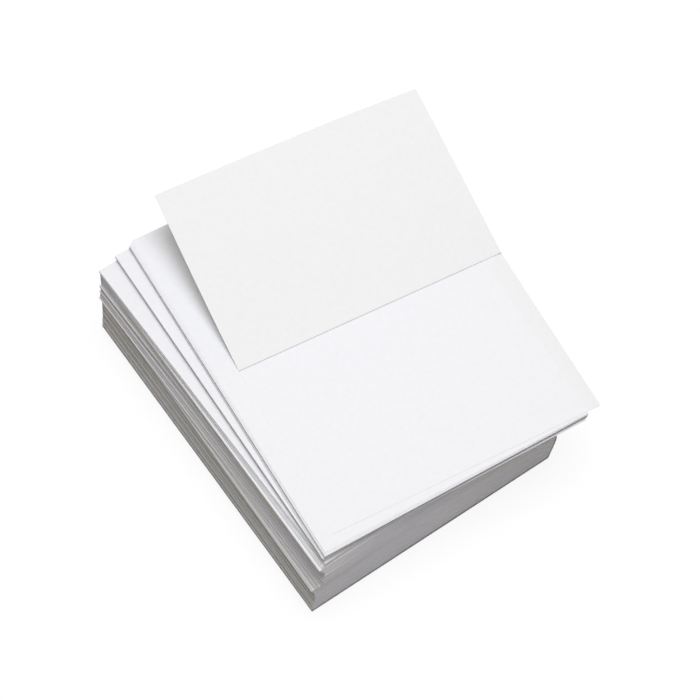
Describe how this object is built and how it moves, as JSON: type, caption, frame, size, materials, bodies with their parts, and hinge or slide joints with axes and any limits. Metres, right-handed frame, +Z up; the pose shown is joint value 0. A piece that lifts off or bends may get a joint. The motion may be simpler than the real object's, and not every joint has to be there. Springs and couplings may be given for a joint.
{
  "type": "ream of paper",
  "caption": "Loose pile of perforated letter sheets, its upper bundles fanned and the top sheet folded up at its perforation.",
  "frame": {"origin": "centre of the lowest sheet, on the surface that the pile lies on", "axes": "+X along the sheets' short side, +Y along their long side towards the back, +Z up"},
  "size_m": [0.2701, 0.2992, 0.1391],
  "materials": {
    "top_sheet_paper": "uncoated white, smooth",
    "bundle_paper": "uncoated white, cut edges",
    "block_paper": "uncoated white, cut edges"
  },
  "bodies": {
    "root": {"bright_bundle": "bundle_paper", "foot_1": "block_paper", "foot_2": "block_paper", "foot_3": "block_paper", "foot_4": "block_paper", "jut_1": "block_paper", "jut_2": "block_paper", "ledge_1": "block_paper", "ledge_2": "block_paper", "ledge_3": "block_paper", "ledge_4": "block_paper", "ledge_5": "block_paper", "loose_sheet_1": "bundle_paper", "loose_sheet_2": "bundle_paper", "loose_sheet_3": "bundle_paper", "lower_1": "block_paper", "lower_2": "block_paper", "lower_3": "block_paper", "lower_4": "block_paper", "lower_5": "block_paper", "second_bundle_1": "bundle_paper", "second_bundle_2": "bundle_paper", "second_bundle_3": "bundle_paper", "shoulder_1": "block_paper", "shoulder_2": "block_paper", "shoulder_3": "block_paper", "shoulder_4": "block_paper", "shoulder_5": "block_paper", "shoulder_6": "block_paper", "shoulder_7": "block_paper", "swell_1": "block_paper", "swell_2": "block_paper", "swell_3": "block_paper", "swell_4": "block_paper", "swell_5": "block_paper", "swell_6": "block_paper", "thin_bundle_1": "bundle_paper", "thin_bundle_2": "bundle_paper", "top_bundle": "bundle_paper", "top_sheet": "top_sheet_paper", "upper_1": "block_paper", "upper_2": "block_paper", "upper_3": "block_paper", "upper_4": "block_paper", "upper_5": "block_paper", "upper_6": "block_paper", "upper_7": "block_paper", "upper_8": "block_paper", "upper_9": "block_paper", "waist_1": "block_paper", "waist_2": "block_paper", "waist_3": "block_paper", "waist_4": "block_paper", "waist_5": "block_paper", "waist_6": "block_paper", "waist_7": "block_paper"}
  },
  "joints": []
}
